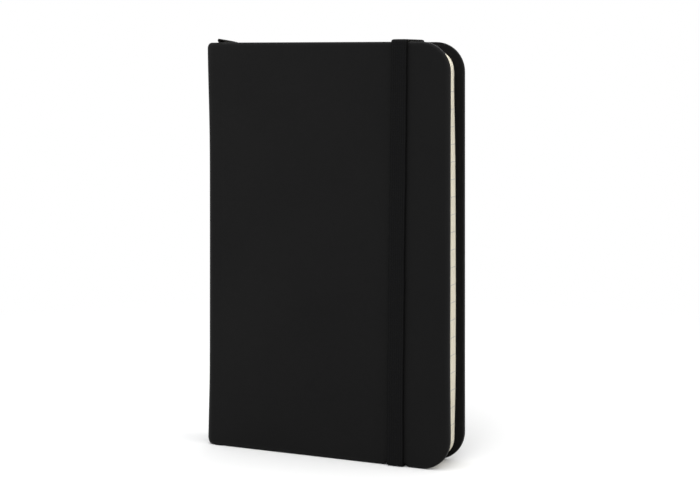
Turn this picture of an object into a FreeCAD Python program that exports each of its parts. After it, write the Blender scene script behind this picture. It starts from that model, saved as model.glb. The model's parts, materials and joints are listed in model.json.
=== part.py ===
import FreeCAD, Part
import math
import os

from FreeCAD import Vector

# Pocket notebook, hard covers, sewn text block, elastic closure and ribbon marker.
# Millimetres. The book stands on its tail edge: +Z runs from tail to head, +X from the
# spine to the fore edge, the front cover faces -Y and the back cover faces +Y.
# Origin: on the ground plane under the middle of the closed book.

# ---- overall size --------------------------------------------------------------------
HEIGHT = 140.0            # tail to head, over the covers
WIDTH = 90.0              # spine to fore edge, over the covers
THICK = 16.0              # closed, over both covers
COVER_CORNER_R = 10.0
SPINE_EDGE_R = 2.5        # rounded long edges of the spine
COVER_EDGE_R = 0.8        # softened outer edge of each cover

# ---- cover build-up, measured inwards from the outer face ----------------------------
SKIN = 0.30               # soft-touch covering material
FIT = 0.02                # bonding gap between two layers
BOARD = 1.50              # greyboard in each cover
TURN_IN = 0.18            # covering material folded in over the board
TURN_IN_W = 12.0          # width of the folded-in strip
TURN_IN_CORNER_R = 2.0    # inner corners of that strip
PASTEDOWN = 0.12          # endpaper glued inside the cover
PASTEDOWN_BORDER = 3.4    # strip of turn-in left showing round the pastedown
FLYLEAF = 0.12            # free half of the endpaper
SPINE_BOARD = 1.20        # strip in the spine
SPINE_BOARD_HALF = 5.3    # half its width

# ---- text block ----------------------------------------------------------------------
SQUARE_FORE = 3.2         # covers stand this far past the leaves at the fore edge
SQUARE_HEAD = 2.6         # and at the head
SQUARE_TAIL = 1.2         # the standing block has sagged towards the tail
SECTIONS = 12             # sewn sections, eight leaves each
SECTION_GAP = 0.024       # between neighbouring sections
FLYLEAF_GAP = 0.03        # between a flyleaf and the nearest section
RIBBON_GAP = 0.30         # gap in the middle of the block, where the ribbon lies
LEAF_CORNER_R = 6.6
LINING = 0.20             # strip behind the sewn folds
LINING_INSET = 4.0        # lining stops this far short of the leaves' head and tail

# ---- hinge lines, distances along X --------------------------------------------------
CREASE = 6.0              # crease of each cover, from the spine's outer face
SKIN_SPLIT = 0.20         # half the split in the covering at the crease
BOARD_START = 1.2         # boards start this far past the crease
PASTEDOWN_START = 0.6     # pastedowns
LEAF_START = 0.30         # and leaves
FOLD_END = 0.10           # the sewn folds end this far before the crease

# ---- elastic closure -----------------------------------------------------------------
BAND_W = 5.8
BAND_T = 0.85
BAND_FROM_FORE = 18.1     # middle of the band from the covers' fore edge
BAND_FIT = 0.02
BAND_EDGE_R = 0.7         # rounding where the band bends
NOTCH_SIDE = 0.20         # clearance beside the band in the tail-edge dents
SLOT_FROM_EDGE = 10.0     # slots in the back cover, from head and tail
SLOT_SIDE = 0.15          # clearance beside the band in the slots
SLOT_END = 0.10           # clearance at the ends of slots and recesses
TAIL_LEN = 18.0           # glued tail inside the back cover

# ---- ribbon --------------------------------------------------------------------------
RIBBON_W = 4.5
RIBBON_T = 0.16
RIBBON_LEN = 125.0        # from its hinge point to the middle of the slanted tip
RIBBON_LEAN = 12.0        # degrees from straight down, towards the fore edge
RIBBON_PIVOT_Z = 134.4    # height of the point it swings about
RIBBON_ENTRY = 60.0       # degrees below +X at which it enters the block
RIBBON_END_GAP = 0.10     # between the root and the marker's round end
RIBBON_GLUE_GAP = 0.04    # either side of the ribbon's glued end

# ---- sewing --------------------------------------------------------------------------
THREAD_R = 0.13
THREAD_INSET = 0.5        # thread stops this far inside the block's faces
STITCH_HEIGHTS = (14.0, 45.0, 51.0, 89.0, 95.0, 126.0)

# ---- planes --------------------------------------------------------------------------
X_SPINE, X_FORE = -WIDTH / 2.0, WIDTH / 2.0
Y_FRONT, Y_BACK = -THICK / 2.0, THICK / 2.0
Z_TAIL, Z_HEAD = SQUARE_TAIL, HEIGHT - SQUARE_HEAD      # ends of the leaves
X_CREASE = X_SPINE + CREASE
X_BAND = X_FORE - BAND_FROM_FORE
X_FOLD_END = X_CREASE - FOLD_END

# Depths of the layers from the outer face of a cover or of the spine.
BOARD_DEPTH = SKIN + FIT
TURN_IN_DEPTH = BOARD_DEPTH + BOARD + FIT
PASTEDOWN_DEPTH = TURN_IN_DEPTH + TURN_IN + FIT
COVER_DEPTH = PASTEDOWN_DEPTH + PASTEDOWN
SPINE_TURN_IN_DEPTH = BOARD_DEPTH + SPINE_BOARD + FIT
SPINE_DEPTH = SPINE_TURN_IN_DEPTH + TURN_IN

# Layers inside the spine, from the spine towards the fore edge.
X_RIBBON_GLUED = X_SPINE + SPINE_DEPTH + RIBBON_GLUE_GAP
X_LINING = X_RIBBON_GLUED + RIBBON_T + RIBBON_GLUE_GAP
X_THREAD = X_LINING + LINING + FIT + THREAD_R
X_FOLD = X_THREAD + THREAD_R + FIT
HALF_BLOCK = THICK / 2.0 - COVER_DEPTH - FIT

COS_45 = math.cos(math.radians(45.0))

os.makedirs("parts", exist_ok=True)


# ---- helpers -------------------------------------------------------------------------
def export(name, shape):
    shape.exportStep(os.path.join("parts", name + ".step"))


def box(x0, x1, y0, y1, z0, z1):
    return Part.makeBox(x1 - x0, y1 - y0, z1 - z0, Vector(x0, y0, z0))


def band_box(y0, y1, z0, z1, side=0.0):
    """Box as wide as the elastic band, plus a clearance on each side."""
    half = BAND_W / 2.0 + side
    return box(X_BAND - half, X_BAND + half, y0, y1, z0, z1)


def arc(start, middle, end):
    return Part.Arc(start, middle, end).toShape()


def prism(edges, direction):
    return Part.Face(Part.Wire(edges)).extrude(direction)


def plate(x0, x1, z0, z1, r, y0, y1):
    """Flat plate in XZ between y0 and y1, its two corners at x1 rounded by r."""
    corners = [
        Vector(x0, y0, z0),
        Vector(x1 - r, y0, z0),
        Vector(x1, y0, z0 + r),
        Vector(x1, y0, z1 - r),
        Vector(x1 - r, y0, z1),
        Vector(x0, y0, z1),
    ]
    reach = COS_45 * r
    low = Vector(x1 - r + reach, y0, z0 + r - reach)
    high = Vector(x1 - r + reach, y0, z1 - r + reach)
    edges = [
        Part.makeLine(corners[0], corners[1]),
        arc(corners[1], low, corners[2]),
        Part.makeLine(corners[2], corners[3]),
        arc(corners[3], high, corners[4]),
        Part.makeLine(corners[4], corners[5]),
        Part.makeLine(corners[5], corners[0]),
    ]
    return prism(edges, Vector(0, y1 - y0, 0))


def lies_at_y(edge, y):
    return all(abs(v.Point.y - y) < 1e-6 for v in edge.Vertexes)


def soften(shape, x_open, y_out, r):
    """Round the edges lying in the plane y_out, apart from the one at x_open."""
    edges = [
        e
        for e in shape.Edges
        if lies_at_y(e, y_out)
        and not all(abs(v.Point.x - x_open) < 1e-6 for v in e.Vertexes)
    ]
    return shape.makeFillet(r, edges)


def bend_edges(shape, y):
    """Edges in the plane y whose two ends are level."""
    return [
        e
        for e in shape.Edges
        if lies_at_y(e, y) and abs(e.Vertexes[0].Point.z - e.Vertexes[1].Point.z) < 1e-6
    ]


def mirror_y(shape):
    return shape.mirror(Vector(0, 0, 0), Vector(0, 1, 0))


# ---- covers, drawn as the front one --------------------------------------------------
def notch(inset):
    """Dent that the pressed band leaves in a cover's tail edge."""
    top = BAND_T + BAND_FIT + inset
    return band_box(Y_FRONT - 2, 0.0, -1.0, top, NOTCH_SIDE + inset)


def cover_plate(x0, inset, depth0, depth1):
    """Plate set in from the cover's outline, between two depths."""
    return plate(
        x0, X_FORE - inset, inset, HEIGHT - inset, COVER_CORNER_R - inset,
        Y_FRONT + depth0, Y_FRONT + depth1,
    )


def cover_body(x0, inset, depth):
    """Cover outline set in on all outer sides, softened and dented, down to a depth."""
    body = cover_plate(x0, inset, inset, depth)
    body = soften(body, x0, Y_FRONT + inset, COVER_EDGE_R - inset)
    return body.cut(notch(inset))


def cover_skin():
    x_skin = X_CREASE + SKIN_SPLIT
    outer = cover_body(x_skin, 0.0, TURN_IN_DEPTH + TURN_IN)
    hollow = cover_body(x_skin - 1, SKIN, TURN_IN_DEPTH)
    window = plate(
        x_skin - 1, X_FORE - TURN_IN_W, TURN_IN_W, HEIGHT - TURN_IN_W, TURN_IN_CORNER_R,
        Y_FRONT + TURN_IN_DEPTH - 0.5, Y_FRONT + TURN_IN_DEPTH + TURN_IN + 1,
    )
    return outer.cut(hollow).cut(window)


def cover_board():
    return cover_body(X_CREASE + BOARD_START, BOARD_DEPTH, BOARD_DEPTH + BOARD)


def pastedown():
    x0 = X_CREASE + PASTEDOWN_START
    return cover_plate(x0, PASTEDOWN_BORDER, PASTEDOWN_DEPTH, COVER_DEPTH)


export("front_cover_skin", cover_skin())
export("front_board", cover_board())
export("front_pastedown", pastedown())

# ---- back cover, with two slots and recesses for the elastic's glued tails -----------
Y_TAIL_IN = Y_BACK - BOARD_DEPTH - BOARD        # inner and outer faces of a glued tail
Y_TAIL_OUT = Y_TAIL_IN + BAND_T


def from_head(span):
    """The same height range, measured down from the head."""
    return HEIGHT - span[1], HEIGHT - span[0]


def back_skin_and_board():
    skin = mirror_y(cover_skin())
    board = mirror_y(cover_board())
    slot = (SLOT_FROM_EDGE - SLOT_END, SLOT_FROM_EDGE + BAND_T + SLOT_END)
    recess = (slot[0], SLOT_FROM_EDGE + TAIL_LEN + SLOT_END)
    skin_recess_y = (Y_BACK - PASTEDOWN_DEPTH - 0.5, Y_BACK - TURN_IN_DEPTH + 0.01)
    for slot_z, recess_z in ((slot, recess), (from_head(slot), from_head(recess))):
        skin = skin.cut(band_box(Y_BACK - SKIN - 0.5, Y_BACK + 1, *slot_z, SLOT_SIDE))
        skin = skin.cut(band_box(*skin_recess_y, *recess_z, SLOT_SIDE))
        board = board.cut(band_box(Y_BACK - 3, Y_BACK, *slot_z, SLOT_SIDE))
        board = board.cut(
            band_box(Y_TAIL_IN - 0.5, Y_TAIL_OUT + FIT, *recess_z, SLOT_SIDE)
        )
    return skin, board


back_skin, back_board = back_skin_and_board()
export("back_cover_skin", back_skin)
export("back_board", back_board)
export("back_pastedown", mirror_y(pastedown()))


# ---- spine ---------------------------------------------------------------------------
def spine_outline(depth, z):
    """Edges from the front crease round the spine to the back crease, and both ends."""
    x_end = X_CREASE - SKIN_SPLIT
    r = SPINE_EDGE_R - depth
    x = X_SPINE + depth
    front, back = Y_FRONT + depth, Y_BACK - depth
    bow = r * (1 - COS_45)
    points = [
        Vector(x_end, front, z),
        Vector(x + r, front, z),
        Vector(x + bow, front + bow, z),
        Vector(x, front + r, z),
        Vector(x, back - r, z),
        Vector(x + bow, back - bow, z),
        Vector(x + r, back, z),
        Vector(x_end, back, z),
    ]
    edges = [
        Part.makeLine(points[0], points[1]),
        arc(points[1], points[2], points[3]),
        Part.makeLine(points[3], points[4]),
        arc(points[4], points[5], points[6]),
        Part.makeLine(points[6], points[7]),
    ]
    return edges, points[0], points[7]


def spine_wall(depth0, depth1, z0, z1):
    """U-shaped wall between two depths, from crease to crease."""
    outer, outer_front, outer_back = spine_outline(depth0, z0)
    inner, inner_front, inner_back = spine_outline(depth1, z0)
    edges = outer + [Part.makeLine(outer_back, inner_back)]
    edges += inner + [Part.makeLine(inner_front, outer_front)]
    return prism(Part.__sortEdges__(edges), Vector(0, 0, z1 - z0))


def spine_skin():
    """Outer wall, its folds over the two ends, and the turn-ins inside."""
    skin = spine_wall(0.0, SKIN, 0.0, HEIGHT)
    for z0, z1 in ((0.0, SKIN), (HEIGHT - SKIN, HEIGHT)):
        skin = skin.fuse(spine_wall(SKIN, SPINE_DEPTH, z0, z1))
    for z0, z1 in ((SKIN, TURN_IN_W), (HEIGHT - TURN_IN_W, HEIGHT - SKIN)):
        skin = skin.fuse(spine_wall(SPINE_TURN_IN_DEPTH, SPINE_DEPTH, z0, z1))
    return skin.removeSplitter()


def spine_board():
    x0 = X_SPINE + BOARD_DEPTH
    return box(
        x0, x0 + SPINE_BOARD, -SPINE_BOARD_HALF, SPINE_BOARD_HALF,
        BOARD_DEPTH, HEIGHT - BOARD_DEPTH,
    )


def spine_lining():
    return box(
        X_LINING, X_LINING + LINING, -HALF_BLOCK, HALF_BLOCK,
        Z_TAIL + LINING_INSET, Z_HEAD - LINING_INSET,
    )


def sewing_thread():
    """Straight stitches across the back of the block."""
    half = HALF_BLOCK - THREAD_INSET
    return Part.makeCompound([
        Part.makeCylinder(THREAD_R, 2 * half, Vector(X_THREAD, -half, z), Vector(0, 1, 0))
        for z in STITCH_HEIGHTS
    ])


export("spine_skin", spine_skin())
export("spine_board", spine_board())
export("spine_lining", spine_lining())
export("sewing_thread", sewing_thread())

# ---- leaves, drawn for the front half ------------------------------------------------
Y_FIRST = -HALF_BLOCK + FLYLEAF + FLYLEAF_GAP
PITCH = (-RIBBON_GAP / 2.0 - Y_FIRST) / (SECTIONS / 2)
SECTION_T = PITCH - SECTION_GAP


def leaf(y, thickness):
    return plate(
        X_CREASE + LEAF_START, X_FORE - SQUARE_FORE, Z_TAIL, Z_HEAD, LEAF_CORNER_R,
        y, y + thickness,
    )


def section_fold(y0):
    """Sewn back of one section: a strip with its folded edge rounded."""
    y1 = y0 + SECTION_T
    x_round = X_FOLD + SECTION_T / 2.0
    start0, start1 = Vector(x_round, y0, Z_TAIL), Vector(x_round, y1, Z_TAIL)
    end0, end1 = Vector(X_FOLD_END, y0, Z_TAIL), Vector(X_FOLD_END, y1, Z_TAIL)
    edges = [
        Part.makeLine(end0, start0),
        arc(start0, Vector(X_FOLD, (y0 + y1) / 2.0, Z_TAIL), start1),
        Part.makeLine(start1, end1),
        Part.makeLine(end1, end0),
    ]
    return prism(edges, Vector(0, 0, Z_HEAD - Z_TAIL))


def endpaper_folds():
    fold = box(X_FOLD, X_FOLD_END, -HALF_BLOCK, -HALF_BLOCK + FLYLEAF, Z_TAIL, Z_HEAD)
    return Part.makeCompound([fold, mirror_y(fold)])


folds = []
for i in range(SECTIONS // 2):
    y = Y_FIRST + i * PITCH
    section = leaf(y, SECTION_T)
    export("section_%02d" % (i + 1), section)
    export("section_%02d" % (SECTIONS - i), mirror_y(section))
    folds += [section_fold(y), mirror_y(section_fold(y))]
export("section_folds", Part.makeCompound(folds))

flyleaf = leaf(-HALF_BLOCK, FLYLEAF)
export("front_flyleaf", flyleaf)
export("rear_flyleaf", mirror_y(flyleaf))
export("endpaper_folds", endpaper_folds())

# ---- elastic closure -----------------------------------------------------------------
Z_BAND_HEAD = HEIGHT + BAND_FIT       # underside and top of the band over the head
Z_BAND_TOP = Z_BAND_HEAD + BAND_T
Y_ANCHOR_IN = Y_BACK + BAND_FIT       # inner and outer faces of the runs on the back
Y_ANCHOR_OUT = Y_ANCHOR_IN + BAND_T


def elastic_band():
    """Run down the front cover, and across the block's thickness at head and tail."""
    y_in = Y_FRONT - BAND_FIT
    y_out = y_in - BAND_T
    y_end = Y_BACK - BAND_FIT
    run = band_box(y_out, y_in, 0, Z_BAND_TOP)
    head = band_box(y_out, y_end, Z_BAND_HEAD, Z_BAND_TOP)
    tail = band_box(y_out, y_end, 0, BAND_T)
    band = run.fuse([head, tail]).removeSplitter()
    return band.makeFillet(BAND_EDGE_R, bend_edges(band, y_out))


def tail_anchor():
    """Tail end: outside from the edge to the slot, through it, and glued flat inside."""
    slot_top = SLOT_FROM_EDGE + BAND_T
    outside = band_box(Y_ANCHOR_IN, Y_ANCHOR_OUT, 0, slot_top)
    through = band_box(Y_TAIL_IN, Y_ANCHOR_OUT, SLOT_FROM_EDGE, slot_top)
    inside = band_box(Y_TAIL_IN, Y_TAIL_OUT, SLOT_FROM_EDGE, SLOT_FROM_EDGE + TAIL_LEN)
    anchor = outside.fuse([through, inside]).removeSplitter()
    return anchor.makeFillet(BAND_EDGE_R, bend_edges(anchor, Y_ANCHOR_OUT))


def head_anchor():
    """The tail anchor mirrored, and carried up level with the top of the band."""
    anchor = tail_anchor().mirror(Vector(0, 0, HEIGHT / 2.0), Vector(0, 0, 1))
    cap = band_box(Y_ANCHOR_IN, Y_ANCHOR_OUT, HEIGHT - 2.0, Z_BAND_TOP)
    top_edge = [
        e
        for e in bend_edges(cap, Y_ANCHOR_OUT)
        if abs(e.Vertexes[0].Point.z - Z_BAND_TOP) < 1e-6
    ]
    cap = cap.makeFillet(BAND_EDGE_R, top_edge)
    joint = band_box(Y_ANCHOR_IN, Y_ANCHOR_OUT, HEIGHT - 3.0, HEIGHT - 1.0)
    return anchor.fuse([joint, cap]).removeSplitter()


export("elastic_band", elastic_band())
export("elastic_anchors", Part.makeCompound([tail_anchor(), head_anchor()]))

# ---- ribbon --------------------------------------------------------------------------
RIBBON_HALF = RIBBON_W / 2.0
X_RIBBON = X_RIBBON_GLUED + RIBBON_T / 2.0
ENTRY_X = math.cos(math.radians(RIBBON_ENTRY))
ENTRY_Z = -math.sin(math.radians(RIBBON_ENTRY))

# Centre line of the root, from the glued end up over the head of the block:
# x from the glued end's mid-plane, z, direction in x, direction in z, twist in degrees.
ROOT_PATH = [
    (0.00, 112.0, 0.0, 1.0, 0.0),
    (0.00, 139.2, 0.0, 1.0, 0.0),
    (0.12, 139.95, 0.35, 1.0, 3.0),
    (0.50, 140.45, 1.0, 0.90, 8.0),
    (1.10, 140.50, 1.0, -0.05, 15.0),
    (2.00, 140.15, 1.0, -0.50, 30.0),
    (3.00, 139.68, 1.0, -0.62, 48.0),
    (4.10, 139.18, 0.80, -0.75, 68.0),
    (5.00, 138.75, ENTRY_X, ENTRY_Z, 90.0),
]

# The root then runs straight along the entry direction, stopping short of the pivot.
PIVOT_GAP = RIBBON_HALF + RIBBON_END_GAP
ROOT_END_Z = RIBBON_PIVOT_Z - PIVOT_GAP * ENTRY_Z
STRAIGHT_LEN = (ROOT_PATH[-1][1] - ROOT_END_Z) / -ENTRY_Z
ROOT_END_DX = ROOT_PATH[-1][0] + STRAIGHT_LEN * ENTRY_X
RIBBON_PIVOT_X = X_RIBBON + ROOT_END_DX + PIVOT_GAP * ENTRY_X


def ribbon_section(centre, tangent, twist):
    """Closed rectangle across the ribbon. twist 0: width along Y. twist 90: width in XZ."""
    tangent.normalize()
    across = Vector(0, 1, 0)
    normal = across.cross(tangent)
    normal.normalize()
    angle = math.radians(twist)
    wide = across * math.cos(angle) + normal * math.sin(angle)
    thin = tangent.cross(wide)
    thin.normalize()
    wide = wide * RIBBON_HALF
    thin = thin * (RIBBON_T / 2.0)
    corners = [
        centre + wide + thin,
        centre - wide + thin,
        centre - wide - thin,
        centre + wide - thin,
    ]
    return Part.makePolygon(corners + [corners[0]])


def ribbon_root():
    stations = ROOT_PATH + [(ROOT_END_DX, ROOT_END_Z, ENTRY_X, ENTRY_Z, 90.0)]
    sections = [
        ribbon_section(Vector(X_RIBBON + dx, 0, z), Vector(along_x, 0, along_z), twist)
        for dx, z, along_x, along_z, twist in stations
    ]
    return Part.makeLoft(sections, True, True)


def ribbon_point(along, side):
    """Point on the ribbon's front face: down from the pivot, and towards the fore edge."""
    lean = math.radians(RIBBON_LEAN)
    down_x, down_z = math.sin(lean), -math.cos(lean)
    return Vector(
        RIBBON_PIVOT_X + down_x * along - down_z * side,
        -RIBBON_T / 2.0,
        RIBBON_PIVOT_Z + down_z * along + down_x * side,
    )


def ribbon_marker():
    """Hanging ribbon, round at the pivot and cut on a slant at the tip."""
    top_fore = ribbon_point(0, RIBBON_HALF)
    top_spine = ribbon_point(0, -RIBBON_HALF)
    tip_spine = ribbon_point(RIBBON_LEN - RIBBON_HALF, -RIBBON_HALF)
    tip_fore = ribbon_point(RIBBON_LEN + RIBBON_HALF, RIBBON_HALF)
    edges = [
        arc(top_fore, ribbon_point(-RIBBON_HALF, 0), top_spine),
        Part.makeLine(top_spine, tip_spine),
        Part.makeLine(tip_spine, tip_fore),
        Part.makeLine(tip_fore, top_fore),
    ]
    return prism(edges, Vector(0, RIBBON_T, 0))


export("ribbon_root", ribbon_root())
export("ribbon_marker", ribbon_marker())
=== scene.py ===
import json
import math

import bpy
import numpy as np
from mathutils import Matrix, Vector


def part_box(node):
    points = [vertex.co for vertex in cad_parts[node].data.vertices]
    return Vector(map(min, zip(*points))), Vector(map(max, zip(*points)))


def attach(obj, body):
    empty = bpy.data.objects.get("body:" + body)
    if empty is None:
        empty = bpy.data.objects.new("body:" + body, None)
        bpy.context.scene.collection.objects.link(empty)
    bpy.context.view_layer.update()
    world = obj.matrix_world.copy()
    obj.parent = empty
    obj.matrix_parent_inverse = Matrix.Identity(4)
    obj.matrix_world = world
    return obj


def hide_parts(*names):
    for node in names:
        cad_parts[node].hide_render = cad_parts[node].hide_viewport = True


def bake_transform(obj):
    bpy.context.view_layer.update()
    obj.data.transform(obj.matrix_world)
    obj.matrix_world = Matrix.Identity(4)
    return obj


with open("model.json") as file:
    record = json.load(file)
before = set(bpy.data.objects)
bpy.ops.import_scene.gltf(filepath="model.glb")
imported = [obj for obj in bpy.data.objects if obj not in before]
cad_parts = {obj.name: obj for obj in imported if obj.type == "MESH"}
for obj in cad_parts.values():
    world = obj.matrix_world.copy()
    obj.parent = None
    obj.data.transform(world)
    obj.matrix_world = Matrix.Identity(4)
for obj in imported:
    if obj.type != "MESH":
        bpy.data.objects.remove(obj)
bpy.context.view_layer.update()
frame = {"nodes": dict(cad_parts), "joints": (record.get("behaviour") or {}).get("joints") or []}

MM = 0.001


def nbox(node):
    lo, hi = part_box(node)
    return np.array(lo) / MM, np.array(hi) / MM


def joint(name):
    return next(j for j in frame["joints"] if j["name"] == name)


# ---- sizes, all read from the frame, in mm ------------------------------------------
SP_LO, SP_HI = nbox("spine_skin")
FC_LO, FC_HI = nbox("front_cover_skin")
BC_LO, BC_HI = nbox("back_cover_skin")
X0, X1 = SP_LO[0], FC_HI[0]
Y0, Y1 = SP_LO[1], SP_HI[1]
H = SP_HI[2]
XC = joint("front_cover_hinge")["pos_m"][0] / MM
R = 10.0
SKIN_T = FC_HI[1] - FC_LO[1]
BAND_LO, BAND_HI = nbox("elastic_band")
XB = (BAND_LO[0] + BAND_HI[0]) / 2
BAND_T = Y0 - BAND_LO[1] - 0.02
BAND_HALF = (BAND_HI[0] - BAND_LO[0]) / 2
LEAF_LO, LEAF_HI = nbox("section_01")
FOLD_LO, FOLD_HI = nbox("section_folds")
LEAN = 0.80              # the stretched band sits this far off plumb at head and tail
SEAM = X0 + 3.6          # where the spine's covering meets the covers' own meshes

rng = np.random.default_rng(20)


def smooth(a, b, v):
    t = np.clip((v - a) / (b - a), 0, 1)
    return t * t * (3 - 2 * t)


# ---- node helpers -------------------------------------------------------------------


class Mat:
    """A small builder for one procedural material."""

    def __init__(self, name):
        self.m = bpy.data.materials.new(name)
        self.m.use_nodes = True
        self.t = self.m.node_tree
        self.t.nodes.clear()
        self.out = self.t.nodes.new("ShaderNodeOutputMaterial")

    def n(self, kind, **inputs):
        node = self.t.nodes.new("ShaderNode" + kind)
        props = inputs.pop("props", {})
        for k, v in props.items():
            setattr(node, k, v)
        for k, v in inputs.items():
            key = int(k[1:]) if k[0] == "i" and k[1:].isdigit() else k.replace("_", " ")
            self.put(node, key, v)
        return node

    def put(self, node, key, v):
        sock = node.inputs[key]
        if isinstance(v, bpy.types.NodeSocket):
            self.t.links.new(v, sock)
        elif isinstance(v, bpy.types.Node):
            self.t.links.new(v.outputs[0], sock)
        else:
            sock.default_value = v

    def math(self, op, a, b=0.0, c=None, clamp=False):
        node = self.t.nodes.new("ShaderNodeMath")
        node.operation = op
        node.use_clamp = clamp
        self.put(node, 0, a)
        self.put(node, 1, b)
        if c is not None:
            self.put(node, 2, c)
        return node.outputs[0]

    def rest(self):
        """Rest position in millimetres, which stays with the surface in every pose."""
        return self.n("Attribute", props={"attribute_name": "rest_mm"}).outputs["Vector"]

    def local(self):
        """The same for a CAD node, whose object sits at the origin of its body."""
        tc = self.t.nodes.new("ShaderNodeTexCoord")
        v = self.n("VectorMath", props={"operation": "SCALE"})
        self.put(v, 0, tc.outputs["Object"])
        v.inputs["Scale"].default_value = 1000.0
        return v.outputs[0]

    def xyz(self, vec):
        s = self.n("SeparateXYZ")
        self.put(s, 0, vec)
        return s.outputs

    def noise(self, vec, scale, detail=2.0, rough=0.5, stretch=None):
        if stretch:
            v = self.n("VectorMath", props={"operation": "MULTIPLY"})
            self.put(v, 0, vec)
            v.inputs[1].default_value = stretch
            vec = v.outputs[0]
        nz = self.n("TexNoise", Scale=scale, Detail=detail, Roughness=rough)
        self.put(nz, "Vector", vec)
        return nz.outputs[0]

    def voronoi(self, vec, scale, feature="F1", rand=1.0):
        v = self.n("TexVoronoi", Scale=scale, Randomness=rand, props={"feature": feature})
        self.put(v, "Vector", vec)
        return v.outputs["Distance"]

    def ramp(self, fac, stops):
        r = self.t.nodes.new("ShaderNodeValToRGB")
        e = r.color_ramp.elements
        while len(e) < len(stops):
            e.new(0.5)
        for el, (pos, col) in zip(e, stops):
            el.position = pos
            el.color = (*col, 1.0) if len(col) == 3 else col
        self.put(r, 0, fac)
        return r.outputs[0]

    def mix(self, fac, a, b, mode="MIX"):
        m = self.t.nodes.new("ShaderNodeMix")
        m.data_type = "RGBA"
        m.blend_type = mode
        self.put(m, 0, fac)
        for key, v in ((6, a), (7, b)):
            if isinstance(v, tuple) and len(v) == 3:
                v = (*v, 1.0)
            self.put(m, key, v)
        return m.outputs[2]

    def bump(self, height, strength, distance_mm, normal=None):
        b = self.t.nodes.new("ShaderNodeBump")
        b.inputs["Strength"].default_value = strength
        b.inputs["Distance"].default_value = distance_mm * MM
        self.put(b, "Height", height)
        if normal is not None:
            self.put(b, "Normal", normal)
        return b.outputs[0]

    def principled(self, **k):
        p = self.t.nodes.new("ShaderNodeBsdfPrincipled")
        for key, v in k.items():
            self.put(p, key.replace("_", " "), v)
        self.t.links.new(p.outputs[0], self.out.inputs[0])
        return p


def cover_material():
    m = Mat("soft_touch_cover")
    v = m.rest()
    s = m.xyz(v)
    grain = m.voronoi(v, 2.6, "F1")
    grain2 = m.noise(v, 5.5, 3.0, 0.6)
    cloud = m.noise(v, 0.030, 3.0, 0.55)
    mottle = m.noise(v, 0.45, 4.0, 0.6)
    # polish along the long edges, where hands rub
    edge_hi = m.math("SUBTRACT", H, s[2])
    e = m.math("MINIMUM", s[2], edge_hi)
    e = m.math("MINIMUM", e, m.math("SUBTRACT", X1, s[0]))
    e = m.math("MINIMUM", e, m.math("SUBTRACT", s[0], X0))
    edge = m.math("SUBTRACT", 1.0, m.math("DIVIDE", e, 1.6), clamp=True)
    scuff = m.math("MULTIPLY", edge, m.math("ADD", 0.35, mottle))
    c = m.mix(m.math("MULTIPLY", cloud, 0.9), (0.0032, 0.0032, 0.0033), (0.0059, 0.0058, 0.0057))
    c = m.mix(m.math("MULTIPLY", scuff, 0.50, clamp=True), c, (0.0115, 0.0115, 0.0115))
    # painted shade: the cover is coloured a shade deeper towards the fore edge, and a painted shadow darkens it beside
    # the band
    # painted shade, growing darker from the spine towards the fore edge
    fore = m.math("DIVIDE", m.math("SUBTRACT", s[0], X0), X1 - X0, clamp=True)
    c = m.mix(m.math("MULTIPLY", fore, 0.34), c, (0.0022, 0.0022, 0.0023))
    # painted shadow: the cover is coloured darker in a strip along each edge of the band, on the front half only,
    # fading away from the band
    lean = m.math("MULTIPLY", m.math("SUBTRACT", m.math("DIVIDE", s[2], H / 2), 1.0), LEAN)
    off = m.math("ABSOLUTE", m.math("SUBTRACT", m.math("SUBTRACT", s[0], XB), lean))
    off = m.math("SUBTRACT", off, BAND_HALF)
    near = m.math("EXPONENT", m.math("MULTIPLY", m.math("MAXIMUM", off, 0.0), -0.75))
    near = m.math("MULTIPLY", near, m.math("LESS_THAN", s[1], 0.0))
    c = m.mix(m.math("MULTIPLY", near, 0.42), c, (0.0014, 0.0014, 0.0014))
    h = m.math("ADD", m.math("MULTIPLY", grain, 0.7), m.math("MULTIPLY", grain2, 0.8))
    nrm = m.bump(h, 0.30, 0.05)
    nrm = m.bump(mottle, 0.10, 0.12, nrm)
    rough = m.math("ADD", 0.50, m.math("MULTIPLY", mottle, 0.16))
    p = m.principled(
        Base_Color=c, Roughness=rough, Normal=nrm, Specular_IOR_Level=0.070,
        Sheen_Weight=0.006, Sheen_Roughness=0.5,
    )
    p.inputs["Sheen Tint"].default_value = (0.9, 0.92, 1.0, 1)
    return m.m


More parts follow.
